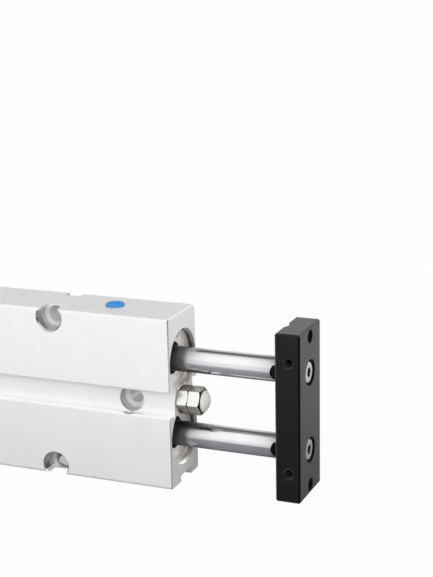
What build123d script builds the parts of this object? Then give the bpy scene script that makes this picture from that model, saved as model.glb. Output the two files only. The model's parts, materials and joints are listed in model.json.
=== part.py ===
from build123d import *
import os
from math import cos, radians, sin, tan

os.makedirs("parts", exist_ok=True)

# Twin-rod pneumatic cylinder, drawn part-way extended, all sizes in millimetres.
# X runs along the rods towards the end plate, Y across the thickness, Z up.
# The origin is the middle of the mounting-hole pattern, at the middle of the body.

# Motion
stroke = 50.0
rest_extension = 24.5          # how far the plate stands off the stop as drawn

# Body extrusion
body_height = 56.0
body_thickness = 21.0
near_corner_radius = 1.0
far_corner_radius = 1.7
end_chamfer = 0.35
rod_pitch = 25.0
bore_radius = 8.0

# Lengthwise channels in the two wide faces, undercut behind their lips
channel_mouth = 7.8
channel_floor = 8.8
channel_depth = 3.4
channel_lip = 1.4
channel_lip_round = 0.8
channel_corner_round = 0.5

# Sensor groove in the bottom face, hooked further under its far lip
groove_offset = 0.8
groove_mouth = 8.3
groove_height = 2.5
groove_near_undercut = 0.45
groove_far_undercut = 1.0
groove_near_lip = 0.6
groove_far_lip = 1.2
groove_round = 0.35

# Seats turned into both ends of each bore, wider where a flange and a ring sit
seat_radius = 8.5
flange_step = 0.7              # how much wider the flange's seat is
flange_seat_radius = seat_radius + flange_step
flange_length = 2.6
mouth_chamfer = 0.7
front_seat_depth = 18.4
rear_seat_depth = 10.9
rear_room = 6.7                # air space behind a retracted piston, at the rear port
fit_gap = 0.03                 # radial gap of pieces that sit still in a seat
running_gap = 0.04             # radial gap of pieces that slide
end_play = 0.05                # axial gap where a stack ends

# Retaining rings
clip_depth = 1.85
clip_thickness = 1.0
clip_width = 1.6
clip_groove_radius = 9.8
clip_gap_angle = 26.0
clip_ear_radius = 1.45
clip_ear_hole_radius = 0.65
clip_ear_drop = 0.95           # ear centre below the middle of the ring's band

# Mounting holes, counterbored from both wide faces
edge_hole_front_inset = 41.6   # from the front end of the body
edge_hole_spacing = 39.0       # along the body
edge_hole_pitch = 50.0         # across the height
edge_hole_radius = 2.75
near_counterbore_radius = 4.2
near_counterbore_depth = 5.4
near_counterbore_chamfer = 0.5
far_counterbore_radius = 4.0
far_counterbore_depth = 4.0
centre_hole_front_inset = 14.8
centre_hole_rear_inset = 22.5
centre_hole_radius = 2.5
centre_counterbore_radius = 4.2
centre_counterbore_depth = 7.0

# Air ports in the top face, with a drilling across both bores
front_port_inset = 23.1
rear_port_inset = 13.3
port_radius = 2.5
port_depth = 6.0
passage_radius = 1.25

# Port plugs
plug_flange_radius = 3.05
plug_flange_height = 0.75
plug_edge_bevel = 0.3
plug_dish_radius = 2.0
plug_dish_depth = 0.55
plug_stem_length = 4.5
plug_wall = 0.9

# Rods
rod_radius = 4.0
rod_chamfer = 0.4
flat_half_width = 3.3          # wrench flats beside the plate
flat_length = 3.7
flat_cutter_radius = 3.3
tap_radius = 2.0
tap_depth = 12.0
spigot_radius = 3.0

# Glands at the front
gland_chamfer = 0.35
gland_recess_radius = 7.9
gland_recess_depth = 0.5
wiper_radius = 5.25
wiper_length = 2.1
wiper_lip_length = 0.3
gland_land = 1.0
rod_seal_radius = 6.2
rod_seal_length = 3.1
gland_web = 0.7
bush_radius = 5.0
gland_rod_gap = 0.2
ring_groove_width = 1.9
ring_groove_depth = 1.35
ring_section_radius = 0.64
ring_land = 5.0                # from the inner end of a gland or cap to its ring groove

# Rear caps
cap_recess_radius = 5.2
cap_recess_depth = 1.6
rear_ring_land = 2.4

# Pistons
piston_radius = 7.93
piston_front_length = 10.5
piston_rear_length = 6.5
piston_relief = 0.45
piston_relief_length = 3.0
piston_land = 0.7
piston_seal_length = 3.2
piston_seal_depth = 1.75
seal_lip = 0.8
seal_relief = 0.35
guide_ring_length = 4.0
guide_ring_depth = 0.75
guide_ring_inset = 1.0
guide_ring_split = 0.6
magnet_length = 3.0
magnet_radius = 7.5
spigot_into_rear = 1.0
cushion_inner_radius = 4.7
cushion_rim = 0.78             # wall of the piston outside a cushion
cushion_seat = 1.0
cushion_stand = 2.0
cushion_round = 0.3
piston_screw_head_radius = 3.5
piston_screw_head_height = 2.7
piston_screw_recess_radius = 3.7
piston_screw_recess_depth = 3.0
piston_screw_length = 12.0
piston_screw_socket = 2.5
piston_screw_socket_depth = 1.4

# Adjustable stop: lock nut, bolt and bumper between the rods
stop_offset = -2.2             # the stop's axis lies nearer to the near wide face
stop_thread_radius = 2.5
stop_hole_depth = 9.5
stop_across_flats = 8.0
stop_hex_angle = 6.0
lock_nut_length = 4.0
stop_head_length = 4.0
hex_chamfer_angle = 30.0
hex_chamfer_bite = 0.25        # how far inside the flats the end circle lies
stop_thread_length = 12.5
bumper_radius = 3.45
bumper_rim = 0.3
bumper_rise = 1.6
bumper_stem_radius = 1.5
bumper_stem_length = 2.6

# End plate
plate_height = 53.8
plate_width = 19.5
plate_thickness = 8.0
plate_chamfer = 0.5
plate_screw_hole_radius = 2.2
plate_counterbore_radius = 4.3
plate_counterbore_depth = 4.4
plate_end_hole_pitch = 48.0
plate_end_hole_radius = 2.25
plate_countersink_radius = 4.2
plate_countersink_angle = 90.0
plate_side_hole_pitch = 35.4
plate_side_hole_radius = 1.65
plate_side_hole_depth = 6.0
plate_side_hole_chamfer = 0.4

# Plate screws
screw_radius = 1.97
screw_head_radius = 3.5
screw_head_height = 4.0
screw_head_round = 0.45
screw_length = 14.0
screw_socket = 3.0
screw_socket_depth = 2.2

# Places along the rods
piston_length = piston_front_length + magnet_length + piston_rear_length
piston_room = stroke + piston_length + 2 * cushion_stand + rear_room
body_length = front_seat_depth + piston_room + rear_seat_depth
front_x = edge_hole_spacing / 2 + edge_hole_front_inset
rear_x = front_x - body_length
gland_front_x = front_x - clip_depth - clip_thickness
gland_rear_x = front_x - front_seat_depth + end_play
cap_rear_x = rear_x + clip_depth + clip_thickness
cap_front_x = rear_x + rear_seat_depth - end_play
step_inset = clip_depth + clip_thickness + flange_length
head_x = front_x + lock_nut_length
bumper_x = head_x + stop_head_length
stop_x = bumper_x + bumper_rim + bumper_rise
plate_x = stop_x + rest_extension
piston_front_x = front_x - front_seat_depth - (stroke - rest_extension) - cushion_stand
magnet_x = piston_front_x - piston_front_length
piston_rear_half_x = magnet_x - magnet_length
piston_rear_x = piston_rear_half_x - piston_rear_length
cushion_outer_radius = piston_radius - piston_relief - cushion_rim

rod_heights = {"upper": rod_pitch / 2, "lower": -rod_pitch / 2}
rod_centres = [(0, height) for height in rod_heights.values()]
near_face = Plane.XZ.offset(body_thickness / 2)
far_face = Plane.XZ.offset(-body_thickness / 2)
front_face = Plane.YZ.offset(front_x)
rear_face = Plane.YZ.offset(rear_x)
top_face = Plane.XY.offset(body_height / 2)
stop_axis = Axis((0, stop_offset, 0), (1, 0, 0))


def half_section(outline, height, offset=0):
    """Face between an outline of (x, radius) points and an axis along X at a height and offset."""
    section_plane = Plane(origin=(0, offset, height), x_dir=(1, 0, 0), z_dir=(0, -1, 0))
    with BuildSketch(section_plane) as section:
        with BuildLine():
            Polyline(*outline, close=True)
        make_face()
    return section.sketch


def ring_section(centre_x, centre_radius, section_radius, height):
    """Round section of a seal ring that lies about the rod axis at a height."""
    section_plane = Plane(origin=(0, 0, height), x_dir=(1, 0, 0), z_dir=(0, -1, 0))
    with BuildSketch(section_plane) as section:
        with Locations((centre_x, centre_radius)):
            Circle(section_radius)
    return section.sketch


def channel_section():
    """Undercut channel of the near wide face, in the plane across the body."""
    face = -body_thickness / 2
    mouth = channel_mouth / 2
    floor = channel_floor / 2
    flare = mouth + 2 * channel_lip_round
    side = [
        (face, flare),
        (face, mouth),
        (face + channel_lip, mouth),
        (face + channel_lip, floor),
        (face + channel_depth, floor),
    ]
    outline = side + [(y, -z) for y, z in reversed(side)]
    shoulder = (floor - mouth) / 2.5
    rounds = [channel_lip_round, shoulder, shoulder, channel_corner_round]
    with BuildSketch(Plane.YZ) as section:
        with BuildLine():
            FilletPolyline(*outline, radius=rounds + rounds[::-1])
            Polyline(outline[-1], (face - 1, -flare), (face - 1, flare), outline[0])
        make_face()
    return section.sketch


def groove_section():
    """Sensor groove of the bottom face, in the plane across the body."""
    base = -body_height / 2
    near = groove_offset - groove_mouth / 2
    far = groove_offset + groove_mouth / 2
    ceiling = base + groove_height
    outline = [
        (near, base - 1),
        (near, base + groove_near_lip),
        (near - groove_near_undercut, base + groove_far_lip),
        (near - groove_near_undercut, ceiling - groove_near_lip),
        (near + groove_near_undercut, ceiling),
        (far + groove_far_undercut, ceiling),
        (far, base + groove_far_lip),
        (far, base - 1),
    ]
    with BuildSketch(Plane.YZ) as section:
        with BuildLine():
            FilletPolyline(*outline, radius=[groove_round] * 4 + [groove_round / 3, groove_round])
            Line(outline[-1], outline[0])
        make_face()
    return section.sketch


def hexagon_blank(start_x, length, chamfer_both_ends):
    """Hexagon prism on the stop's axis with its end corners turned to a cone."""
    corner = stop_across_flats / 2 / cos(radians(30))
    end_circle = stop_across_flats / 2 - hex_chamfer_bite
    fall = (corner - end_circle) * tan(radians(hex_chamfer_angle))
    end_x = start_x + length
    start_edge = [(start_x, corner)]
    if chamfer_both_ends:
        start_edge = [(start_x, end_circle), (start_x + fall, corner)]
    with BuildPart() as blank:
        with BuildSketch(Plane.YZ.offset(start_x)):
            with Locations((stop_offset, 0)):
                RegularPolygon(radius=corner, side_count=6, rotation=stop_hex_angle)
        extrude(amount=length)
        end_edge = [(end_x - fall, corner), (end_x, end_circle)]
        envelope = half_section([(start_x, 0), *start_edge, *end_edge, (end_x, 0)], 0, stop_offset)
        revolve(envelope, axis=stop_axis, mode=Mode.INTERSECT)
    return blank.part


# Cylinder body
with BuildPart() as cylinder_body:
    with BuildSketch(rear_face) as end_outline:
        Rectangle(body_thickness, body_height)
        fillet(end_outline.vertices().group_by(Axis.X)[0], near_corner_radius)
        fillet(end_outline.vertices().group_by(Axis.X)[-1], far_corner_radius)
    extrude(amount=body_length)
    chamfer(cylinder_body.faces().filter_by(Axis.X).edges(), end_chamfer)
    channel = channel_section()
    far_channel = mirror(channel, about=Plane.XZ, mode=Mode.PRIVATE)
    for profile in (channel, far_channel, groove_section()):
        extrude(profile, amount=body_length, both=True, mode=Mode.SUBTRACT)

    # Bores, with their seats, mouths and ring grooves
    for height in rod_heights.values():
        bore_outline = [
            (rear_x - 1, 0),
            (rear_x - 1, flange_seat_radius + mouth_chamfer + 1),
            (rear_x + mouth_chamfer, flange_seat_radius),
            (rear_x + clip_depth, flange_seat_radius),
            (rear_x + clip_depth, clip_groove_radius),
            (rear_x + clip_depth + clip_thickness + end_play, clip_groove_radius),
            (rear_x + clip_depth + clip_thickness + end_play, flange_seat_radius),
            (rear_x + step_inset + end_play, flange_seat_radius),
            (rear_x + step_inset + end_play, seat_radius),
            (rear_x + rear_seat_depth, seat_radius),
            (rear_x + rear_seat_depth, bore_radius),
            (front_x - front_seat_depth, bore_radius),
            (front_x - front_seat_depth, seat_radius),
            (front_x - step_inset - end_play, seat_radius),
            (front_x - step_inset - end_play, flange_seat_radius),
            (front_x - clip_depth - clip_thickness - end_play, flange_seat_radius),
            (front_x - clip_depth - clip_thickness - end_play, clip_groove_radius),
            (front_x - clip_depth, clip_groove_radius),
            (front_x - clip_depth, flange_seat_radius),
            (front_x - mouth_chamfer, flange_seat_radius),
            (front_x + 1, flange_seat_radius + mouth_chamfer + 1),
            (front_x + 1, 0),
        ]
        bore_axis = Axis((0, 0, height), (1, 0, 0))
        revolve(half_section(bore_outline, height), axis=bore_axis, mode=Mode.SUBTRACT)

    # Mounting holes
    edge_hole_x = edge_hole_spacing / 2
    edge_hole_z = edge_hole_pitch / 2
    edge_holes = [(x, z) for x in (-edge_hole_x, edge_hole_x) for z in (-edge_hole_z, edge_hole_z)]
    centre_holes = [(front_x - centre_hole_front_inset, 0), (rear_x + centre_hole_rear_inset, 0)]
    for places, radius in ((edge_holes, edge_hole_radius), (centre_holes, centre_hole_radius)):
        with BuildSketch(Plane.XZ):
            with Locations(places):
                Circle(radius)
        extrude(amount=body_thickness, both=True, mode=Mode.SUBTRACT)
    counterbores = (
        (near_face, -near_counterbore_depth, edge_holes, near_counterbore_radius),
        (far_face, far_counterbore_depth, edge_holes, far_counterbore_radius),
        (near_face, -centre_counterbore_depth, centre_holes, centre_counterbore_radius),
        (far_face, centre_counterbore_depth, centre_holes, centre_counterbore_radius),
    )
    for wide_face, depth, places, radius in counterbores:
        with BuildSketch(wide_face):
            with Locations(places):
                Circle(radius)
        extrude(amount=depth, mode=Mode.SUBTRACT)
    with BuildSketch(near_face):
        with Locations(edge_holes):
            Circle(near_counterbore_radius + near_counterbore_chamfer)
    extrude(amount=-near_counterbore_chamfer, taper=45, mode=Mode.SUBTRACT)

    # Ports and the drilling that joins the two bores
    ports = [(front_x - front_port_inset, 0), (rear_x + rear_port_inset, 0)]
    with BuildSketch(top_face):
        with Locations(ports):
            Circle(port_radius)
    extrude(amount=-port_depth, mode=Mode.SUBTRACT)
    with BuildSketch(top_face):
        with Locations(ports):
            Circle(passage_radius)
    extrude(amount=-(body_height / 2 + rod_pitch / 2), mode=Mode.SUBTRACT)

    # Threaded hole of the adjustable stop
    with BuildSketch(front_face):
        with Locations((stop_offset, 0)):
            Circle(stop_thread_radius)
    extrude(amount=-stop_hole_depth, mode=Mode.SUBTRACT)
cylinder_body.part.label = "cylinder_body"
export_step(cylinder_body.part, "parts/cylinder_body.step")

for side, height in rod_heights.items():
    rod_axis = Axis((0, 0, height), (1, 0, 0))
    seat_fit = seat_radius - fit_gap
    flange_fit = flange_seat_radius - fit_gap
    groove_floor = seat_radius - ring_groove_depth

    # Rod gland
    with BuildPart() as front_gland:
        gland_face_x = gland_front_x - gland_recess_depth
        wiper_back_x = gland_face_x - wiper_length
        seal_front_x = wiper_back_x - gland_land
        seal_back_x = seal_front_x - rod_seal_length
        bush_front_x = seal_back_x - gland_web
        groove_back_x = gland_rear_x + ring_land
        groove_front_x = groove_back_x + ring_groove_width
        gland_outline = [
            (gland_face_x, wiper_radius),
            (gland_face_x, gland_recess_radius),
            (gland_front_x, gland_recess_radius),
            (gland_front_x, flange_fit - gland_chamfer),
            (gland_front_x - gland_chamfer, flange_fit),
            (front_x - step_inset, flange_fit),
            (front_x - step_inset, seat_fit),
            (groove_front_x, seat_fit),
            (groove_front_x, groove_floor),
            (groove_back_x, groove_floor),
            (groove_back_x, seat_fit),
            (gland_rear_x + gland_chamfer, seat_fit),
            (gland_rear_x, seat_fit - gland_chamfer),
            (gland_rear_x, bush_radius),
            (bush_front_x, bush_radius),
            (bush_front_x, rod_radius + gland_rod_gap),
            (seal_back_x, rod_radius + gland_rod_gap),
            (seal_back_x, rod_seal_radius),
            (seal_front_x, rod_seal_radius),
            (seal_front_x, rod_radius + gland_rod_gap),
            (wiper_back_x, rod_radius + gland_rod_gap),
            (wiper_back_x, wiper_radius),
        ]
        revolve(half_section(gland_outline, height), axis=rod_axis)
    front_gland.part.label = f"{side}_front_gland"
    export_step(front_gland.part, f"parts/{side}_front_gland.step")

    # Wiper ring with its lip standing out of the gland
    with BuildPart() as rod_wiper:
        wiper_outline = [
            (wiper_back_x + end_play, rod_radius + running_gap),
            (wiper_back_x + end_play, wiper_radius - fit_gap),
            (gland_face_x, wiper_radius - fit_gap),
            (gland_face_x + wiper_lip_length / 3, wiper_radius - wiper_lip_length),
            (gland_face_x + wiper_lip_length, rod_radius + wiper_lip_length),
            (gland_face_x + wiper_lip_length, rod_radius + running_gap),
        ]
        revolve(half_section(wiper_outline, height), axis=rod_axis)
    rod_wiper.part.label = f"{side}_rod_wiper"
    export_step(rod_wiper.part, f"parts/{side}_rod_wiper.step")

    # Lip seal, open towards the pressure
    with BuildPart() as rod_seal:
        seal_inner = rod_radius + running_gap
        seal_outer = rod_seal_radius - fit_gap
        seal_middle = (seal_inner + seal_outer) / 2
        seal_slot = (seal_outer - seal_inner) / 4
        seal_outline = [
            (seal_front_x - end_play, seal_inner),
            (seal_front_x - end_play, seal_outer),
            (seal_back_x + end_play, seal_outer),
            (seal_back_x + end_play, seal_middle + seal_slot),
            (seal_back_x + rod_seal_length / 2, seal_middle),
            (seal_back_x + end_play, seal_middle - seal_slot),
            (seal_back_x + end_play, seal_inner),
        ]
        revolve(half_section(seal_outline, height), axis=rod_axis)
    rod_seal.part.label = f"{side}_rod_seal"
    export_step(rod_seal.part, f"parts/{side}_rod_seal.step")

    # Guide bush
    with BuildPart() as rod_bush:
        bush_outline = [
            (bush_front_x - end_play, rod_radius + running_gap),
            (bush_front_x - end_play, bush_radius - fit_gap),
            (gland_rear_x, bush_radius - fit_gap),
            (gland_rear_x, rod_radius + running_gap + rod_chamfer / 2),
            (gland_rear_x + rod_chamfer / 2, rod_radius + running_gap),
        ]
        revolve(half_section(bush_outline, height), axis=rod_axis)
    rod_bush.part.label = f"{side}_rod_bush"
    export_step(rod_bush.part, f"parts/{side}_rod_bush.step")

    # Rear cap
    with BuildPart() as rear_cap:
        cap_groove_front_x = cap_front_x - rear_ring_land
        cap_groove_back_x = cap_groove_front_x - ring_groove_width
        cap_outline = [
            (cap_rear_x + cap_recess_depth, 0),
            (cap_rear_x + cap_recess_depth, cap_recess_radius - gland_chamfer),
            (cap_rear_x, cap_recess_radius),
            (cap_rear_x, flange_fit - gland_chamfer),
            (cap_rear_x + gland_chamfer, flange_fit),
            (rear_x + step_inset, flange_fit),
            (rear_x + step_inset, seat_fit),
            (cap_groove_back_x, seat_fit),
            (cap_groove_back_x, groove_floor),
            (cap_groove_front_x, groove_floor),
            (cap_groove_front_x, seat_fit),
            (cap_front_x - gland_chamfer, seat_fit),
            (cap_front_x, seat_fit - gland_chamfer),
            (cap_front_x, 0),
        ]
        revolve(half_section(cap_outline, height), axis=rod_axis)
    rear_cap.part.label = f"{side}_rear_cap"
    export_step(rear_cap.part, f"parts/{side}_rear_cap.step")

    # Seal rings of the gland and the cap
    ring_radius = seat_radius - ring_groove_depth / 2
    for end, ring_x in (
        ("front", (groove_front_x + groove_back_x) / 2),
        ("rear", (cap_groove_front_x + cap_groove_back_x) / 2),
    ):
        with BuildPart() as seal_ring:
            revolve(ring_section(ring_x, ring_radius, ring_section_radius, height), axis=rod_axis)
        seal_ring.part.label = f"{side}_{end}_seal_ring"
        export_step(seal_ring.part, f"parts/{side}_{end}_seal_ring.step")

    # Retaining rings with two ears beside the gap
    for end, clip_plane in (
        ("front", Plane.YZ.offset(gland_front_x)),
        ("rear", Plane.YZ.offset(cap_rear_x - clip_thickness)),
    ):
        with BuildPart() as clip:
            clip_outer = clip_groove_radius - fit_gap
            clip_inner = clip_outer - clip_width
            ear_reach = clip_inner + clip_width / 2 - clip_ear_drop
            with BuildSketch(clip_plane):
                with Locations((0, height)):
                    Circle(clip_outer)
                    Circle(clip_inner, mode=Mode.SUBTRACT)
                for turn in (-clip_gap_angle / 2, clip_gap_angle / 2):
                    ear = (ear_reach * sin(radians(turn)), height + ear_reach * cos(radians(turn)))
                    with Locations(ear):
                        Circle(clip_ear_radius)
                with Locations((0, height + clip_inner)):
                    gap_width = 2 * ear_reach * sin(radians(clip_gap_angle / 2)) - clip_ear_radius
                    Rectangle(gap_width, clip_inner / 2, mode=Mode.SUBTRACT)
                for turn in (-clip_gap_angle / 2, clip_gap_angle / 2):
                    ear = (ear_reach * sin(radians(turn)), height + ear_reach * cos(radians(turn)))
                    with Locations(ear):
                        Circle(clip_ear_hole_radius, mode=Mode.SUBTRACT)
            extrude(amount=clip_thickness)
        clip.part.label = f"{side}_{end}_clip"
        export_step(clip.part, f"parts/{side}_{end}_clip.step")

    # Piston rod with wrench flats beside the plate and a spigot for the piston
    with BuildPart() as rod:
        spigot_end_x = piston_rear_half_x - spigot_into_rear + end_play
        rod_outline = [
            (spigot_end_x, 0),
            (spigot_end_x, spigot_radius - rod_chamfer),
            (spigot_end_x + rod_chamfer, spigot_radius),
            (piston_front_x, spigot_radius),
            (piston_front_x, rod_radius),
            (plate_x - rod_chamfer, rod_radius),
            (plate_x, rod_radius - rod_chamfer),
            (plate_x, 0),
        ]
        revolve(half_section(rod_outline, height), axis=rod_axis)
        flat_plane = Plane.XZ.offset(-rod_radius - 1)
        with BuildSketch(flat_plane) as flat:
            with Locations((plate_x - flat_length + flat_cutter_radius, height)):
                Circle(flat_cutter_radius)
            with Locations((plate_x + flat_cutter_radius / 2, height)):
                Rectangle(2 * flat_length, 2 * rod_radius, align=(Align.MIN, Align.CENTER))
        flat_depth = rod_radius + 1 - flat_half_width
        flat_cut = extrude(flat.sketch, amount=flat_depth, mode=Mode.SUBTRACT)
        mirror(flat_cut, about=Plane.XZ, mode=Mode.SUBTRACT)
        with BuildSketch(Plane.YZ.offset(plate_x)):
            with Locations((0, height)):
                Circle(tap_radius)
        extrude(amount=-tap_depth, mode=Mode.SUBTRACT)
        with BuildSketch(Plane.YZ.offset(spigot_end_x)):
            with Locations((0, height)):
                Circle(tap_radius)
        extrude(amount=tap_depth, mode=Mode.SUBTRACT)
    rod.part.label = f"{side}_rod"
    export_step(rod.part, f"parts/{side}_rod.step")

    # Front half of the piston
    with BuildPart() as piston_front:
        seal_start_x = piston_front_x - piston_relief_length - piston_land
        seal_end_x = seal_start_x - piston_seal_length
        seal_floor = piston_radius - piston_seal_depth
        piston_front_outline = [
            (piston_front_x, spigot_radius + fit_gap),
            (piston_front_x, cushion_inner_radius),
            (piston_front_x - cushion_seat, cushion_inner_radius),
            (piston_front_x - cushion_seat, cushion_outer_radius),
            (piston_front_x, cushion_outer_radius),
            (piston_front_x, piston_radius - piston_relief),
            (piston_front_x - piston_relief_length, piston_radius - piston_relief),
            (piston_front_x - piston_relief_length, piston_radius),
            (seal_start_x, piston_radius),
            (seal_start_x, seal_floor),
            (seal_end_x, seal_floor),
            (seal_end_x, piston_radius),
            (magnet_x, piston_radius),
            (magnet_x, spigot_radius + fit_gap),
        ]
        revolve(half_section(piston_front_outline, height), axis=rod_axis)
    piston_front.part.label = f"{side}_piston_front"
    export_step(piston_front.part, f"parts/{side}_piston_front.step")

    # Rear half of the piston
    with BuildPart() as piston_rear:
        guide_front_x = piston_rear_half_x - guide_ring_inset
        guide_back_x = guide_front_x - guide_ring_length
        guide_floor = piston_radius - guide_ring_depth
        recess_floor_x = piston_rear_x + piston_screw_recess_depth
        piston_rear_outline = [
            (piston_rear_half_x, spigot_radius + fit_gap),
            (piston_rear_half_x, piston_radius),
            (guide_front_x, piston_radius),
            (guide_front_x, guide_floor),
            (guide_back_x, guide_floor),
            (guide_back_x, piston_radius),
            (piston_rear_x, piston_radius),
            (piston_rear_x, cushion_outer_radius),
            (piston_rear_x + cushion_seat, cushion_outer_radius),
            (piston_rear_x + cushion_seat, cushion_inner_radius),
            (piston_rear_x, cushion_inner_radius),
            (piston_rear_x, piston_screw_recess_radius),
            (recess_floor_x, piston_screw_recess_radius),
            (recess_floor_x, tap_radius),
            (piston_rear_half_x - spigot_into_rear, tap_radius),
            (piston_rear_half_x - spigot_into_rear, spigot_radius + fit_gap),
        ]
        revolve(half_section(piston_rear_outline, height), axis=rod_axis)
    piston_rear.part.label = f"{side}_piston_rear"
    export_step(piston_rear.part, f"parts/{side}_piston_rear.step")

    # Magnet between the piston halves
    with BuildPart() as magnet:
        magnet_outline = [
            (piston_rear_half_x, spigot_radius + fit_gap),
            (piston_rear_half_x, magnet_radius),
            (magnet_x, magnet_radius),
            (magnet_x, spigot_radius + fit_gap),
        ]
        revolve(half_section(magnet_outline, height), axis=rod_axis)
    magnet.part.label = f"{side}_magnet"
    export_step(magnet.part, f"parts/{side}_magnet.step")

    # Piston seal with two lips
    with BuildPart() as piston_seal:
        lip_radius = bore_radius - running_gap
        start_x = seal_start_x - end_play
        end_x = seal_end_x + end_play
        piston_seal_outline = [
            (start_x, seal_floor + fit_gap),
            (start_x, lip_radius),
            (start_x - seal_lip, lip_radius),
            (start_x - seal_lip - seal_relief, lip_radius - seal_relief),
            (end_x + seal_lip + seal_relief, lip_radius - seal_relief),
            (end_x + seal_lip, lip_radius),
            (end_x, lip_radius),
            (end_x, seal_floor + fit_gap),
        ]
        revolve(half_section(piston_seal_outline, height), axis=rod_axis)
    piston_seal.part.label = f"{side}_piston_seal"
    export_step(piston_seal.part, f"parts/{side}_piston_seal.step")

    # Split guide ring
    with BuildPart() as guide_ring:
        guide_outline = [
            (guide_front_x - end_play, guide_floor + fit_gap),
            (guide_front_x - end_play, bore_radius - running_gap),
            (guide_back_x + end_play, bore_radius - running_gap),
            (guide_back_x + end_play, guide_floor + fit_gap),
        ]
        revolve(half_section(guide_outline, height), axis=rod_axis)
        with BuildSketch(Plane.YZ.offset(guide_back_x)):
            with Locations((0, height + bore_radius)):
                Rectangle(guide_ring_split, 2 * guide_ring_length)
        extrude(amount=guide_ring_length, mode=Mode.SUBTRACT)
    guide_ring.part.label = f"{side}_guide_ring"
    export_step(guide_ring.part, f"parts/{side}_guide_ring.step")

    # Cushion rings on both faces of the piston
    for end, seated_x, outward in (("front", piston_front_x, 1), ("rear", piston_rear_x, -1)):
        with BuildPart() as cushion:
            inner = cushion_inner_radius + fit_gap
            outer = cushion_outer_radius - fit_gap
            bottom_x = seated_x - outward * cushion_seat
            tip_x = seated_x + outward * cushion_stand
            shoulder_x = tip_x - outward * cushion_round
            cushion_outline = [
                (bottom_x, inner),
                (bottom_x, outer),
                (shoulder_x, outer),
                (tip_x, outer - cushion_round),
                (tip_x, inner + cushion_round),
                (shoulder_x, inner),
            ]
            revolve(half_section(cushion_outline, height), axis=rod_axis)
        cushion.part.label = f"{side}_{end}_cushion"
        export_step(cushion.part, f"parts/{side}_{end}_cushion.step")

    # Screw that holds the piston on its rod
    with BuildPart() as piston_screw:
        head_back_x = recess_floor_x - piston_screw_head_height
        screw_outline = [
            (head_back_x, 0),
            (head_back_x, piston_screw_head_radius - cushion_round),
            (head_back_x + cushion_round, piston_screw_head_radius),
            (recess_floor_x, piston_screw_head_radius),
            (recess_floor_x, screw_radius),
            (recess_floor_x + piston_screw_length, screw_radius),
            (recess_floor_x + piston_screw_length, 0),
        ]
        revolve(half_section(screw_outline, height), axis=rod_axis)
        with BuildSketch(Plane.YZ.offset(head_back_x)):
            with Locations((0, height)):
                RegularPolygon(piston_screw_socket / 2, 6, major_radius=False)
        extrude(amount=piston_screw_socket_depth, mode=Mode.SUBTRACT)
    piston_screw.part.label = f"{side}_piston_screw"
    export_step(piston_screw.part, f"parts/{side}_piston_screw.step")

# End plate
with BuildPart() as end_plate:
    plate_middle_x = plate_x + plate_thickness / 2
    plate_face_x = plate_x + plate_thickness
    with BuildSketch(Plane.YZ.offset(plate_x)):
        Rectangle(plate_width, plate_height)
    extrude(amount=plate_thickness)
    chamfer(end_plate.edges(), plate_chamfer)
    with BuildSketch(Plane.YZ.offset(plate_x)):
        with Locations(rod_centres):
            Circle(plate_screw_hole_radius)
    extrude(amount=plate_thickness, mode=Mode.SUBTRACT)
    with BuildSketch(Plane.YZ.offset(plate_face_x)):
        with Locations(rod_centres):
            Circle(plate_counterbore_radius)
    extrude(amount=-plate_counterbore_depth, mode=Mode.SUBTRACT)
    with Locations(Plane(origin=(plate_x, 0, 0), x_dir=(0, 1, 0), z_dir=(-1, 0, 0))):
        with GridLocations(0, plate_end_hole_pitch, 1, 2):
            CounterSinkHole(
                plate_end_hole_radius,
                plate_countersink_radius,
                plate_thickness,
                plate_countersink_angle,
            )
    near_side = Plane.XZ.offset(plate_width / 2)
    side_holes = [(plate_middle_x, plate_side_hole_pitch / 2), (plate_middle_x, -plate_side_hole_pitch / 2)]
    with BuildSketch(near_side):
        with Locations(side_holes):
            Circle(plate_side_hole_radius)
    extrude(amount=-plate_side_hole_depth, mode=Mode.SUBTRACT)
    side_hole_rims = end_plate.edges().filter_by(GeomType.CIRCLE).group_by(Axis.Y)[0]
    chamfer(side_hole_rims, plate_side_hole_chamfer)
end_plate.part.label = "end_plate"
export_step(end_plate.part, "parts/end_plate.step")

# Two socket-head screws that hold the plate on the rods
with BuildPart() as plate_screws:
    seat_x = plate_face_x - plate_counterbore_depth
    head_top_x = seat_x + screw_head_height
    screw_outline = [
        (seat_x - screw_length, 0),
        (seat_x - screw_length, screw_radius),
        (seat_x, screw_radius),
        (seat_x, screw_head_radius),
        (head_top_x - screw_head_round, screw_head_radius),
        (head_top_x, screw_head_radius - screw_head_round),
        (head_top_x, 0),
    ]
    for height in rod_heights.values():
        revolve(half_section(screw_outline, height), axis=Axis((0, 0, height), (1, 0, 0)))
    with BuildSketch(Plane.YZ.offset(head_top_x)):
        with Locations(rod_centres):
            RegularPolygon(screw_socket / 2, 6, major_radius=False)
    extrude(amount=-screw_socket_depth, mode=Mode.SUBTRACT)
plate_screws.part.label = "plate_screws"
export_step(plate_screws.part, "parts/plate_screws.step")

# Lock nut of the stop
with BuildPart() as lock_nut:
    add(hexagon_blank(front_x, lock_nut_length, True))
    with BuildSketch(front_face):
        with Locations((stop_offset, 0)):
            Circle(stop_thread_radius)
    extrude(amount=lock_nut_length, mode=Mode.SUBTRACT)
lock_nut.part.label = "lock_nut"
export_step(lock_nut.part, "parts/lock_nut.step")

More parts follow.
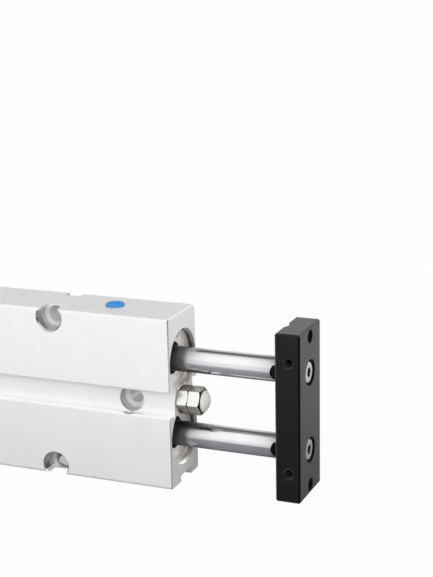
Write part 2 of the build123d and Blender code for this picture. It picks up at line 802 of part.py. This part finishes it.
# Hexagon bolt of the stop
with BuildPart() as stop_bolt:
    add(hexagon_blank(head_x, stop_head_length, False))
    thread_outline = [
        (head_x, 0),
        (head_x, stop_thread_radius - running_gap),
        (head_x - stop_thread_length + end_chamfer, stop_thread_radius - running_gap),
        (head_x - stop_thread_length, stop_thread_radius - running_gap - end_chamfer),
        (head_x - stop_thread_length, 0),
    ]
    revolve(half_section(thread_outline, 0, stop_offset), axis=stop_axis)
    with BuildSketch(Plane.YZ.offset(bumper_x)):
        with Locations((stop_offset, 0)):
            Circle(bumper_stem_radius + running_gap)
    extrude(amount=-bumper_stem_length, mode=Mode.SUBTRACT)
stop_bolt.part.label = "stop_bolt"
export_step(stop_bolt.part, "parts/stop_bolt.step")

# Domed bumper pressed into the bolt's head
with BuildPart() as stop_bumper:
    with BuildSketch(Plane(origin=(0, stop_offset, 0), x_dir=(1, 0, 0), z_dir=(0, -1, 0))):
        with BuildLine():
            dome_start = (bumper_x + bumper_rim, bumper_radius)
            dome_radius = (bumper_radius**2 + bumper_rise**2) / (2 * bumper_rise)
            RadiusArc(dome_start, (stop_x, 0), dome_radius)
            Polyline(
                (stop_x, 0),
                (bumper_x - bumper_stem_length + end_play, 0),
                (bumper_x - bumper_stem_length + end_play, bumper_stem_radius),
                (bumper_x, bumper_stem_radius),
                (bumper_x, bumper_radius),
                dome_start,
            )
        make_face()
    revolve(axis=stop_axis)
stop_bumper.part.label = "stop_bumper"
export_step(stop_bumper.part, "parts/stop_bumper.step")

# Port plugs
for end, port_x in (("front", ports[0][0]), ("rear", ports[1][0])):
    with BuildPart() as port_plug:
        top_z = body_height / 2
        rim_z = top_z + plug_flange_height
        stem_radius = port_radius - fit_gap
        with BuildSketch(Plane.XZ):
            with BuildLine():
                Polyline(
                    (0, top_z - plug_stem_length),
                    (0, rim_z - plug_dish_depth),
                    (plug_dish_radius - plug_dish_depth, rim_z - plug_dish_depth),
                    (plug_dish_radius, rim_z),
                    (plug_flange_radius - plug_edge_bevel, rim_z),
                    (plug_flange_radius, rim_z - plug_edge_bevel),
                    (plug_flange_radius, top_z),
                    (stem_radius, top_z),
                    (stem_radius, top_z - plug_stem_length),
                    close=True,
                )
            make_face()
        revolve(axis=Axis.Z)
        with BuildSketch(Plane.XY.offset(top_z - plug_stem_length)):
            Circle(stem_radius - plug_wall)
        extrude(amount=plug_stem_length - plug_wall, mode=Mode.SUBTRACT)
    port_plug.part = port_plug.part.moved(Location((port_x, 0, 0)))
    port_plug.part.label = f"{end}_port_plug"
    export_step(port_plug.part, f"parts/{end}_port_plug.step")
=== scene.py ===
"""Studio scene of a double-rod pneumatic cylinder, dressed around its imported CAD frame.

All lengths are in metres, in the CAD frame: X along the rods, Z up, origin in the middle of the
pattern of edge holes.
"""
import json
from math import pi

import bpy
from mathutils import Matrix, Vector


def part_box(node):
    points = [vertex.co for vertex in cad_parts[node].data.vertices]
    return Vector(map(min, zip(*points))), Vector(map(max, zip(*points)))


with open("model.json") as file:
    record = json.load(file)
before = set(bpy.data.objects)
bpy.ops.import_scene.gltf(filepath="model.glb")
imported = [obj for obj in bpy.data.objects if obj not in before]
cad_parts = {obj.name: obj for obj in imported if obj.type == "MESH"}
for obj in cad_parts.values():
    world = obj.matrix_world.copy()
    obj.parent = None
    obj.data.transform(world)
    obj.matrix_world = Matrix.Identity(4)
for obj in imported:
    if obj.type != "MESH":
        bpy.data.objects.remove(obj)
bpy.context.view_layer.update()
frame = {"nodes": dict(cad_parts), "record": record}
nodes = frame["nodes"]

MM = 0.001
body_low, body_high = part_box("cylinder_body")
plate_low, plate_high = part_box("end_plate")
rod_low, rod_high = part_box("upper_rod")

# Places on the CAD parts that the finishes follow
body_middle = (body_low.x + body_high.x) / 2
body_half = (body_high.x - body_low.x) / 2
end_cut_depth = 0.75 * MM
bore_height = (rod_low.z + rod_high.z) / 2
mouth_radius = 9.95 * MM
mouth_depth = 9.0 * MM
# Each pattern of mounting holes: the middle's X, half the spacing along X, the height and the reach
hole_patterns = [(0.0, 19.5 * MM, 25.0 * MM, 5.2 * MM), (9.95 * MM, 36.35 * MM, 0.0, 4.25 * MM)]
through_hole_reach = 3.2 * MM
wall_height_end = body_high.z - 1.0 * MM
rod_flat_reach = 3.7 * MM
plate_edge_depth = 0.6 * MM

# How far the surface's normal goes along an axis, by which the finishes tell faces apart
chamfer_facing = 0.7071
chamfer_slack = 0.06
mouth_facing_end = chamfer_facing - 0.1
wall_facing_end = 0.8
round_facing_end = 0.1
round_upward_start = 0.06
round_upward_end = 0.75
rod_flat_facing = 0.995

noise_roughness = 0.55

# Camera, fitted to the photograph's edges
camera_place = Vector((0.234918, -0.38619, 0.146802))
camera_forward = Vector((-0.37359, 0.89189, -0.25489))
camera_up = Vector((-0.07995, 0.2428, 0.96678))
camera_lens = 87.75
camera_sensor = 36.0
camera_nearest = 0.01
camera_farthest = 20

# Surroundings that light the object: tones by degrees round the X axis from straight up, below zero
# to the back, and tones by the direction's X from -1 to 1
panels_round = [(-150, 0.45), (-104, 0.80), (-70, 0.76), (-57, 0.55), (-40, 0.14), (-20, 0.13), (-11, 0.5),
                (-3, 0.76), (6, 0.88), (16, 0.98), (28, 1.02), (62, 1.02), (88, 0.8), (150, 0.5)]
panels_along = [(-1.0, 0.95), (0.0, 1.0), (0.3, 1.5), (0.66, 1.5), (0.82, 0.25), (1.0, 0.25)]
world_strength = 1.0
key_watts = 2.3
fill_watts = 4.2

# Floor: grey to the object near the body by a painted shadow, and pale farther off; nearly white to the
# camera
floor_half = 4.0
floor_shadow_grey = (0.25, 0.26, 0.28)
floor_pale = (0.82, 0.82, 0.82)
floor_pale_reach = 0.2
floor_white_share = 0.97
# Painted shadow under the body: drawn in by the inset, the camera sees the floor in this tone
shade_inset = 5 * MM
shade_edge = 0.5 * MM
shade_tone = 0.5

# Dark card at the right, across X
flag_place = plate_high.x + 0.1
flag_front = -0.18
flag_back = -0.03
flag_low = body_low.z + 1 * MM
flag_high = 0.1
flag_colour = (0.02, 0.02, 0.02)


class Tree:
    """A node tree, with short calls for the nodes that the studio and the finishes share."""

    def __init__(self, node_tree):
        self.nodes = node_tree.nodes
        self.links = node_tree.links

    def add(self, kind, **settings):
        """A new node with its settings."""
        node = self.nodes.new(kind)
        for name, value in settings.items():
            setattr(node, name, value)
        return node

    def feed(self, value, socket):
        """Links an input socket to a socket, or sets it to a number, vector or colour."""
        if isinstance(value, bpy.types.NodeSocket):
            self.links.new(value, socket)
        else:
            socket.default_value = value

    def math(self, operation, *values):
        """One step of arithmetic on sockets or numbers."""
        step = self.add("ShaderNodeMath", operation=operation)
        for value, socket in zip(values, step.inputs):
            self.feed(value, socket)
        return step.outputs["Value"]

    def vector_math(self, operation, *values):
        """One step of arithmetic on vectors, each a socket or three numbers."""
        step = self.add("ShaderNodeVectorMath", operation=operation)
        for value, socket in zip(values, step.inputs):
            self.feed(value, socket)
        return step.outputs["Value" if operation == "LENGTH" else "Vector"]

    def axes(self, vector):
        """X, Y and Z of a vector socket."""
        split = self.add("ShaderNodeSeparateXYZ")
        self.feed(vector, split.inputs["Vector"])
        return [split.outputs[axis] for axis in "XYZ"]

    def gap(self, value, target):
        """How far a value is from a target."""
        return self.math("ABSOLUTE", self.math("SUBTRACT", value, target))

    def diagonal(self, first, second):
        """Length of two distances at right angles."""
        squares = [self.math("MULTIPLY", side, side) for side in (first, second)]
        return self.math("SQRT", self.math("ADD", *squares))

    def above(self, value, limit):
        """Mask that is 1 where a value is above a limit, else 0."""
        return self.math("GREATER_THAN", value, limit)

    def below(self, value, limit):
        """Mask that is 1 where a value is below a limit, else 0."""
        return self.math("LESS_THAN", value, limit)

    def near(self, value, target, width):
        """Mask that is 1 where a value lies within the width of a target, else 0."""
        return self.below(self.gap(value, target), width)

    def every(self, first, *others):
        """Mask that is 1 where every mask is 1, else 0."""
        for other in others:
            first = self.math("MULTIPLY", first, other)
        return first

    def spread(self, value, low, high, start=0.3, end=0.7, **settings):
        """Maps a value from start..end to low..high; the defaults suit a noise value."""
        spread = self.add("ShaderNodeMapRange", **settings)
        self.feed(value, spread.inputs["Value"])
        self.feed(start, spread.inputs["From Min"])
        self.feed(end, spread.inputs["From Max"])
        self.feed(low, spread.inputs["To Min"])
        self.feed(high, spread.inputs["To Max"])
        return spread.outputs["Result"]

    def blend(self, factor, first, second):
        """Colour between two colours, each a socket or three numbers, by a factor socket."""
        mix = self.add("ShaderNodeMix", data_type="RGBA")
        self.feed(factor, mix.inputs["Factor"])
        sockets = [socket for socket in mix.inputs if socket.type == "RGBA"]
        for colour, socket in zip((first, second), sockets):
            linked = isinstance(colour, bpy.types.NodeSocket)
            self.feed(colour if linked else (*colour, 1), socket)
        return [socket for socket in mix.outputs if socket.type == "RGBA"][0]

    def grey_ramp(self, value, stops):
        """Grey tone for a value from 0 to 1, by stops of a position and a tone."""
        ramp = self.add("ShaderNodeValToRGB")
        points = ramp.color_ramp.elements
        while len(points) < len(stops):
            points.new(1.0)
        for point, (position, tone) in zip(points, stops):
            point.position = position
            point.color = (tone, tone, tone, 1)
        self.feed(value, ramp.inputs["Fac"])
        return ramp.outputs["Color"]

    def camera_mix(self, lit, seen, share=1.0):
        """Shader that lights the object by the first and shows the camera a share of the second."""
        from_camera = self.add("ShaderNodeLightPath").outputs["Is Camera Ray"]
        mix = self.add("ShaderNodeMixShader")
        self.feed(self.math("MULTIPLY", from_camera, share), mix.inputs["Fac"])
        self.feed(lit, mix.inputs[1])
        self.feed(seen, mix.inputs[2])
        return mix.outputs["Shader"]


class Finish(Tree):
    """A material's node tree, with its shader and what the finishes read from the surface."""

    def __init__(self, name):
        self.material = bpy.data.materials.new(name)
        self.material.use_nodes = True
        super().__init__(self.material.node_tree)
        self.shader = self.nodes["Principled BSDF"]
        self.coordinates = self.add("ShaderNodeTexCoord").outputs["Object"]

    def set(self, **values):
        """Sets sockets of the shader, named with underscores for spaces."""
        for name, value in values.items():
            self.shader.inputs[name.replace("_", " ")].default_value = value

    def drive(self, **sources):
        """Links sockets to the shader's own, named with underscores for spaces."""
        for name, source in sources.items():
            self.feed(source, self.shader.inputs[name.replace("_", " ")])

    def noise(self, size, detail=3.0, stretch=(1, 1, 1)):
        """Noise with cells of about a size, in metres; a stretch below 1 lengthens them on its axis."""
        mapping = self.add("ShaderNodeMapping")
        self.feed(self.coordinates, mapping.inputs["Vector"])
        self.feed(stretch, mapping.inputs["Scale"])
        noise = self.add("ShaderNodeTexNoise")
        self.feed(mapping.outputs["Vector"], noise.inputs["Vector"])
        self.feed(1 / size, noise.inputs["Scale"])
        self.feed(detail, noise.inputs["Detail"])
        self.feed(noise_roughness, noise.inputs["Roughness"])
        return noise.outputs["Fac"]

    def openness(self, reach, closed_at, open_at):
        """From 0 in hollows as deep as the reach, in metres, to 1 on open faces."""
        hollow = self.add("ShaderNodeAmbientOcclusion", samples=8)
        self.feed(reach, hollow.inputs["Distance"])
        return self.spread(hollow.outputs["AO"], 0, 1, start=closed_at, end=open_at)

    def normal(self):
        """X, Y and Z of the surface's own normal, before any bump."""
        return self.axes(self.add("ShaderNodeNewGeometry").outputs["True Normal"])

    def facing(self):
        """Sizes of the surface's own normal along X, Y and Z."""
        return [self.math("ABSOLUTE", part) for part in self.normal()]

    def upward(self):
        """From -1 on faces that look straight down to 1 on faces that look straight up."""
        return self.normal()[2]

    def rounded(self, radius):
        """Shades sharp edges as if rounded to a radius; comes before any bump."""
        edge = self.add("ShaderNodeBevel", samples=6)
        self.feed(radius, edge.inputs["Radius"])
        self.drive(Normal=edge.outputs["Normal"])

    def bump(self, height, distance, strength):
        """Adds a height to the surface, of a distance in metres, on top of any bump before it."""
        bump = self.add("ShaderNodeBump")
        self.feed(height, bump.inputs["Height"])
        self.feed(distance, bump.inputs["Distance"])
        self.feed(strength, bump.inputs["Strength"])
        before = self.shader.inputs["Normal"]
        if before.is_linked:
            self.feed(before.links[0].from_socket, bump.inputs["Normal"])
        self.drive(Normal=bump.outputs["Normal"])


def dimmed(colour, share):
    """A colour with each of its parts brought down to a share."""
    return [part * share for part in colour]


def end_chamfer_mask(tree, x, along):
    """1 on the chamfers round the body's two ends."""
    past_ends = tree.above(tree.gap(x, body_middle), body_half - end_cut_depth)
    return tree.every(tree.near(along, chamfer_facing, chamfer_slack), past_ends)


def mouth_mask(tree, x, y, z, along):
    """1 on the walls in the mouths of the two bores."""
    beside = tree.math("SUBTRACT", tree.math("ABSOLUTE", z), bore_height)
    inside = tree.below(tree.diagonal(y, beside), mouth_radius)
    in_front = tree.above(x, body_high.x - mouth_depth)
    return tree.every(inside, in_front, tree.below(along, mouth_facing_end))


def counterbore_mask(tree, x, z, across):
    """1 on the walls of the mounting holes' counterbores."""
    rings = 0.0
    for offset, half_spacing, height, reach in hole_patterns:
        side = tree.math("SUBTRACT", tree.gap(x, offset), half_spacing)
        level = tree.math("SUBTRACT", tree.math("ABSOLUTE", z), height)
        radius = tree.diagonal(side, level)
        ring = tree.every(tree.below(radius, reach), tree.above(radius, through_hole_reach))
        rings = tree.math("MAXIMUM", rings, ring)
    under_top = tree.below(tree.math("ABSOLUTE", z), wall_height_end)
    return tree.every(rings, tree.below(across, wall_facing_end), under_top)


def round_mask(tree, upward, along):
    """1 on the long rounded corners that look up, where painted shade dims their highlight."""
    slanted = tree.every(tree.above(upward, round_upward_start), tree.below(upward, round_upward_end))
    return tree.every(slanted, tree.below(along, round_facing_end))


def anodised_body():
    """Clear anodised extrusion: blasted grain, drawing lines and bright-cut chamfers, with painted shade
    on the rounded corners that look up and on the counterbore walls, and painted light and shade on the
    bore mouths' walls.
    """
    dull_colour = (0.885, 0.882, 0.874)
    clear_colour = (0.915, 0.912, 0.904)
    # Painted shade: the rounded corners that look up are darker, which dims their highlight
    round_shade_colour = (0.79, 0.788, 0.782)
    # Painted shade: the counterbore walls are darker
    counterbore_shade_colour = (0.5, 0.5, 0.495)
    # Painted light and shade: the bore mouths' walls are dark where they look down and light where they
    # look up
    mouth_shade_colour = (0.15, 0.137, 0.118)
    mouth_light_colour = (0.8, 0.75, 0.69)
    blasted_metallic = 0.35
    cut_metallic = 0.9
    cut_polish = 0.18

    tree = Finish("anodised_body")
    grain = tree.noise(0.35 * MM, detail=2)
    lines = tree.noise(0.5 * MM, stretch=(0.02, 1, 1))
    cloud = tree.noise(18 * MM, detail=4)
    along, across, _ = tree.facing()
    upward = tree.upward()
    x, y, z = tree.axes(tree.coordinates)
    mouths = mouth_mask(tree, x, y, z, along)
    counterbores = counterbore_mask(tree, x, z, across)

    colour = tree.blend(tree.spread(cloud, 0, 1), dull_colour, clear_colour)
    # Painted shade on the rounded corners that look up
    colour = tree.blend(round_mask(tree, upward, along), colour, round_shade_colour)
    # Painted shade on the counterbore walls
    colour = tree.blend(counterbores, colour, counterbore_shade_colour)
    # Painted light and shade on the bore mouths' walls, by which way they look
    lit = tree.spread(upward, 0, 1, start=-0.2, end=0.7)
    mouth_light_and_shade = tree.blend(lit, mouth_shade_colour, mouth_light_colour)
    tree.drive(Base_Color=tree.blend(mouths, colour, mouth_light_and_shade))

    cut = tree.math("MAXIMUM", end_chamfer_mask(tree, x, along), mouths)
    cut = tree.math("MAXIMUM", cut, counterbores)
    tree.drive(Metallic=tree.spread(cut, blasted_metallic, cut_metallic, start=0, end=1))
    blasted = tree.spread(grain, 0.39, 0.46)
    tree.drive(Roughness=tree.math("SUBTRACT", blasted, tree.math("MULTIPLY", cut, cut_polish)))
    tree.bump(grain, distance=0.012 * MM, strength=0.35)
    tree.bump(lines, distance=0.01 * MM, strength=0.3)
    return tree.material


def turned_alloy(name, colour, roughness=0.3, metallic=1.0):
    """Turned metal with a fine grain of tool marks and faint stains."""
    tree = Finish(name)
    tree.set(Metallic=metallic)
    marks = tree.noise(0.25 * MM, detail=2)
    stain = tree.noise(3 * MM, detail=4)
    tree.drive(Base_Color=tree.blend(tree.spread(stain, 0, 1), dimmed(colour, 0.86), colour))
    tree.drive(Roughness=tree.spread(marks, roughness - 0.05, roughness + 0.08))
    tree.bump(marks, distance=0.01 * MM, strength=0.4)
    return tree.material


def spring_steel():
    """Oiled spring steel of the retaining rings."""
    oiled_colour = (0.72, 0.69, 0.64)
    dry_colour = (0.88, 0.85, 0.80)
    tree = Finish("clip_steel")
    tree.set(Metallic=0.5)
    stain = tree.noise(1.6 * MM, detail=4)
    tree.drive(Base_Color=tree.blend(tree.spread(stain, 0, 1), oiled_colour, dry_colour))
    tree.drive(Roughness=tree.spread(stain, 0.28, 0.42))
    tree.bump(tree.noise(0.12 * MM), distance=0.006 * MM, strength=0.4)
    return tree.material


def chrome():
    """Hard chrome, ground round the rod, darker by painted shade and rougher where the bore closes in;
    dark flats at the plate.
    """
    rod_shade_colour = (0.06, 0.06, 0.065)
    bright_colour = (0.945, 0.945, 0.965)
    flat_colour = (0.02, 0.02, 0.022)
    closed_blur = 0.4

    tree = Finish("rod_chrome")
    tree.set(Metallic=1.0)
    grinding = tree.noise(0.12 * MM, detail=2, stretch=(1, 0.05, 0.05))
    haze = tree.noise(6 * MM, detail=4)
    openness = tree.openness(13 * MM, closed_at=0.38, open_at=0.96)
    # Painted shade: the chrome is darker where the bore and the body close in round it
    colour = tree.blend(openness, rod_shade_colour, bright_colour)
    across = tree.facing()[1]
    x = tree.axes(tree.coordinates)[0]
    flats = tree.every(tree.above(across, rod_flat_facing), tree.above(x, plate_low.x - rod_flat_reach))
    tree.drive(Base_Color=tree.blend(flats, colour, flat_colour))
    blur = tree.spread(openness, closed_blur, 0, start=0.2, end=0.85)
    tree.drive(Roughness=tree.math("ADD", tree.spread(haze, 0.09, 0.12), blur))
    tree.bump(grinding, distance=0.002 * MM, strength=0.25)
    return tree.material


def plated_steel(name, colour, roughness, hollow_reach, hollow_shade_tone, closed_at=0.4, open_at=0.65,
                 end_facing=None, under_share=1.0):
    """Plated steel of the fasteners, with handling marks and painted shade that darkens the hollows.

    Faces that look along X by more than the end facing get painted shade too, and on faces that look
    down painted shade leaves only the under share of the plain colour.
    """
    tree = Finish(name)
    tree.set(Metallic=1.0)
    marks = tree.noise(0.9 * MM, detail=5)
    plain = tree.blend(tree.spread(marks, 0, 1), dimmed(colour, 0.93), colour)
    if end_facing is not None:
        # Painted shade on faces that look along X
        plain = tree.blend(tree.above(tree.facing()[0], end_facing), plain, hollow_shade_tone)
    # Painted shade on faces that look down
    kept = tree.spread(tree.upward(), under_share, 1, start=-0.8, end=-0.4)
    plain = tree.blend(kept, hollow_shade_tone, plain)
    # Painted shade in the hollows
    openness = tree.openness(hollow_reach, closed_at, open_at)
    tree.drive(Base_Color=tree.blend(openness, hollow_shade_tone, plain))
    tree.rounded(0.12 * MM)
    tree.drive(Roughness=tree.spread(marks, roughness + 0.1, roughness - 0.03))
    tree.bump(tree.noise(0.3 * MM), distance=0.004 * MM, strength=0.3)
    return tree.material


def black_anodised():
    """Black anodised plate: satin grain, black cut edges, and painted shade that turns the hole insides
    black.
    """
    deep_colour = (0.002, 0.002, 0.002)
    worn_colour = (0.004, 0.004, 0.004)
    tree = Finish("plate_black")
    tree.set(Specular_IOR_Level=0.23, Sheen_Weight=0.24, Sheen_Roughness=0.45)
    tree.rounded(0.15 * MM)
    grain = tree.noise(0.3 * MM, detail=2)
    cloud = tree.noise(9 * MM, detail=4)
    tree.drive(Base_Color=tree.blend(tree.spread(cloud, 0, 1), deep_colour, worn_colour))
    along, across, _ = tree.facing()
    x = tree.axes(tree.coordinates)[0]
    edges = tree.every(tree.near(along, chamfer_facing, chamfer_slack),
                       tree.near(across, chamfer_facing, chamfer_slack),
                       tree.above(x, plate_high.x - plate_edge_depth))
    # Painted shade: hole insides turn to metal of the near-black colour, which shows them black
    hollows = tree.spread(tree.openness(3 * MM, closed_at=0.55, open_at=0.9), 1, 0, start=0, end=1)
    tree.drive(Metallic=tree.math("MAXIMUM", edges, hollows))
    tree.drive(Roughness=tree.spread(grain, 0.32, 0.42))
    tree.bump(grain, distance=0.012 * MM, strength=0.35)
    return tree.material


def moulded(name, colour, roughness, specular=0.5):
    """Moulded plastic or rubber with a soft grain, and painted shade that darkens its hollows."""
    tree = Finish(name)
    tree.set(Metallic=0.0, Specular_IOR_Level=specular)
    tone = tree.noise(4 * MM, detail=4)
    plain = tree.blend(tree.spread(tone, 0, 1), dimmed(colour, 0.9), colour)
    # Painted shade: the colour is darker in the hollows
    openness = tree.openness(2.5 * MM, closed_at=0.5, open_at=0.95)
    tree.drive(Base_Color=tree.blend(openness, dimmed(colour, 0.6), plain))
    grain = tree.noise(0.4 * MM)
    tree.drive(Roughness=tree.spread(grain, roughness - 0.04, roughness + 0.06))
    tree.bump(grain, distance=0.008 * MM, strength=0.4)
    return tree.material


def dress_nodes():
    """Gives every CAD node the finish of its material slot."""
    finishes = {
        "anodised_body": anodised_body(),
        "gland_alloy": turned_alloy("gland_alloy", (1.0, 0.95, 0.91), roughness=0.35, metallic=0.1),
        "piston_alloy": turned_alloy("piston_alloy", (0.75, 0.76, 0.77)),
        "bush_bronze": turned_alloy("bush_bronze", (0.62, 0.44, 0.24)),
        "clip_steel": spring_steel(),
        "rod_chrome": chrome(),
        "screw_steel": plated_steel("screw_steel", (0.88, 0.88, 0.87), roughness=0.3,
                                    hollow_reach=3 * MM, hollow_shade_tone=(0.005, 0.005, 0.005)),
        "nickel_steel": plated_steel("nickel_steel", (1.0, 0.98, 0.945), roughness=0.2,
                                     hollow_reach=7 * MM, hollow_shade_tone=(0.09, 0.075, 0.06),
                                     closed_at=0.5, open_at=0.85, end_facing=0.3, under_share=0.2),
        "plate_black": black_anodised(),
        "plug_blue": moulded("plug_blue", (0.025, 0.27, 0.70), roughness=0.34),
        "bumper_plastic": moulded("bumper_plastic", (0.67, 0.67, 0.645), roughness=0.4),
        "guide_plastic": moulded("guide_plastic", (0.5, 0.45, 0.33), roughness=0.5),
        "seal_rubber": moulded("seal_rubber", (0.012, 0.012, 0.012), roughness=0.45),
        "wiper_rubber": moulded("wiper_rubber", (0.004, 0.004, 0.004), roughness=0.6, specular=0.1),
        "cushion_rubber": moulded("cushion_rubber", (0.02, 0.02, 0.022), roughness=0.5),
        "magnet_rubber": moulded("magnet_rubber", (0.02, 0.017, 0.015), roughness=0.6),
    }
    for entry in frame["record"]["subparts"]:
        mesh = nodes[entry["node"]].data
        mesh.materials.clear()
        mesh.materials.append(finishes[entry["material_slot"]])


def flat_piece(name, corners, material):
    """Flat studio piece between four corners."""
    mesh = bpy.data.meshes.new(name)
    mesh.from_pydata(corners, [], [(0, 1, 2, 3)])
    mesh.materials.append(material)
    piece = bpy.data.objects.new(name, mesh)
    bpy.context.scene.collection.objects.link(piece)
    return piece


def footprint_distance(tree, inset=0.0):
    """Distance in the floor's plane from the body's box, drawn in by an inset, as a socket."""
    middle = (body_low + body_high) / 2
    half = (body_high - body_low) / 2 - Vector((inset, inset, 0))
    place = tree.add("ShaderNodeNewGeometry").outputs["Position"]
    outward = tree.vector_math("ABSOLUTE", tree.vector_math("SUBTRACT", place, middle))
    past_box = tree.vector_math("MAXIMUM", tree.vector_math("SUBTRACT", outward, half), (0, 0, 0))
    return tree.vector_math("LENGTH", tree.vector_math("MULTIPLY", past_box, (1, 1, 0)))


def studio_floor():
    """Floor under the body: one tone for the light on the object, with a painted shadow near the body, and
    a paler one for the camera, with a painted shadow under the body.
    """
    tree = Finish("studio_floor")
    tree.set(Roughness=0.9, Specular_IOR_Level=0.1)
    # Painted shadow: grey near the body, pale farther off
    fade = tree.spread(footprint_distance(tree), 0, 1, start=0, end=floor_pale_reach,
                       interpolation_type="SMOOTHSTEP")
    tree.drive(Base_Color=tree.blend(fade, floor_shadow_grey, floor_pale))
    # Painted shadow: the floor's glow is dimmer under the body
    shade = tree.spread(footprint_distance(tree, shade_inset), shade_tone, 1, start=0, end=shade_edge)
    glow = tree.add("ShaderNodeEmission")
    tree.feed(shade, glow.inputs["Strength"])
    surface = tree.camera_mix(tree.shader.outputs["BSDF"], glow.outputs["Emission"], floor_white_share)
    tree.feed(surface, tree.nodes["Material Output"].inputs["Surface"])
    corners = [(-floor_half, -floor_half, body_low.z), (floor_half, -floor_half, body_low.z),
               (floor_half, floor_half, body_low.z), (-floor_half, floor_half, body_low.z)]
    floor = flat_piece("studio_floor", corners, tree.material)


def right_flag():
    """Dark card beside the plate, seen only in the object's cut edges and bright metal."""
    tree = Finish("right_flag")
    tree.set(Base_Color=(*flag_colour, 1), Specular_IOR_Level=0.0, Roughness=1.0)
    corners = [(flag_place, flag_back, flag_low), (flag_place, flag_front, flag_low),
               (flag_place, flag_front, flag_high), (flag_place, flag_back, flag_high)]
    card = flat_piece("right_flag", corners, tree.material)
    for ray in ("camera", "diffuse", "transmission", "shadow"):
        setattr(card, f"visible_{ray}", False)


def studio_world():
    """White surroundings for the camera, and panels of light and shade for the light on the object."""
    world = bpy.data.worlds.new("studio")
    bpy.context.scene.world = world
    world.use_nodes = True
    world.node_tree.nodes.clear()
    tree = Tree(world.node_tree)
    x, y, z = tree.axes(tree.add("ShaderNodeTexCoord").outputs["Generated"])
    angle = tree.math("ARCTAN2", tree.math("MULTIPLY", y, -1), z)
    round_stops = [((degrees + 180) / 360, tone) for degrees, tone in panels_round]
    round_tone = tree.grey_ramp(tree.spread(angle, 0, 1, start=-pi, end=pi), round_stops)
    along_stops = [((side + 1) / 2, tone) for side, tone in panels_along]
    along_tone = tree.grey_ramp(tree.spread(x, 0, 1, start=-1, end=1), along_stops)
    lit = tree.add("ShaderNodeBackground")
    tree.feed(tree.vector_math("MULTIPLY", round_tone, along_tone), lit.inputs["Color"])
    tree.feed(world_strength, lit.inputs["Strength"])
    seen = tree.add("ShaderNodeBackground")
    tree.feed((1, 1, 1, 1), seen.inputs["Color"])
    surface = tree.camera_mix(lit.outputs["Background"], seen.outputs["Background"])
    tree.feed(surface, tree.add("ShaderNodeOutputWorld").inputs["Surface"])


def softbox(name, place, width, height, watts):
    """Area light at a place, turned to face the origin; neither the camera nor metal shows it."""
    light = bpy.data.lights.new(name, "AREA")
    light.shape = "RECTANGLE"
    light.size = width
    light.size_y = height
    light.energy = watts
    lamp = bpy.data.objects.new(name, light)
    bpy.context.scene.collection.objects.link(lamp)
    lamp.location = place
    lamp.rotation_mode = "QUATERNION"
    lamp.rotation_quaternion = (-Vector(place)).to_track_quat("-Z", "Y")
    lamp.visible_camera = False
    lamp.visible_glossy = False


def studio_lights():
    """Key light before the near face, and a fill on the side of the front end and the plate."""
    softbox("key_front", (-0.25, -0.9, 0.45), width=0.9, height=0.6, watts=key_watts)
    softbox("fill_right", (0.75, -0.5, 0.12), width=0.6, height=0.6, watts=fill_watts)


def photograph_camera():
    """Camera at the photograph's viewing angle."""
    data = bpy.data.cameras.new("photograph")
    data.lens = camera_lens
    data.sensor_width = camera_sensor
    data.clip_start = camera_nearest
    data.clip_end = camera_farthest
    camera = bpy.data.objects.new("photograph", data)
    bpy.context.scene.collection.objects.link(camera)
    back = -camera_forward.normalized()
    right = camera_up.cross(back).normalized()
    up = back.cross(right)
    turn = Matrix((right, up, back)).transposed().to_4x4()
    camera.matrix_world = Matrix.Translation(camera_place) @ turn
    bpy.context.scene.camera = camera


bpy.context.scene.view_settings.view_transform = "Standard"
photograph_camera()
studio_world()
studio_floor()
studio_lights()
right_flag()
dress_nodes()
